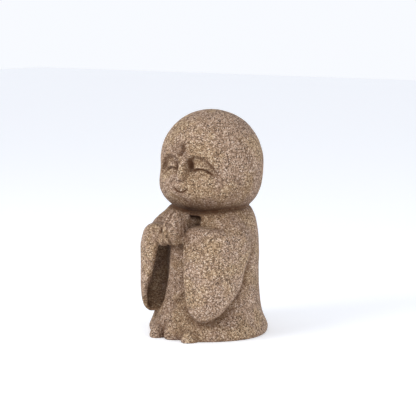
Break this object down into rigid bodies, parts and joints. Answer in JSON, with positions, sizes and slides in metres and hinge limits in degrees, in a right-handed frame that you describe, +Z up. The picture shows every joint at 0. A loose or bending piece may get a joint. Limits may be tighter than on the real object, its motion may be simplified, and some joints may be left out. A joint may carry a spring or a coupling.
{
  "type": "stone jizo statue",
  "caption": "Small stone jizo: a bald, smiling child monk with palms pressed together, in a long-sleeved robe, on a flat underside.",
  "frame": {"origin": "centre of the flat underside that the statue stands on", "axes": "+Z up the figure, which faces -Y; its left arm is on the +X side"},
  "size_m": [0.1093, 0.1141, 0.2],
  "materials": {
    "stone": "matt cast sandstone with fine dark, ochre and whitish grains, browner in the hollows"
  },
  "bodies": {
    "root": {"jizo_statue": "stone"}
  },
  "joints": []
}
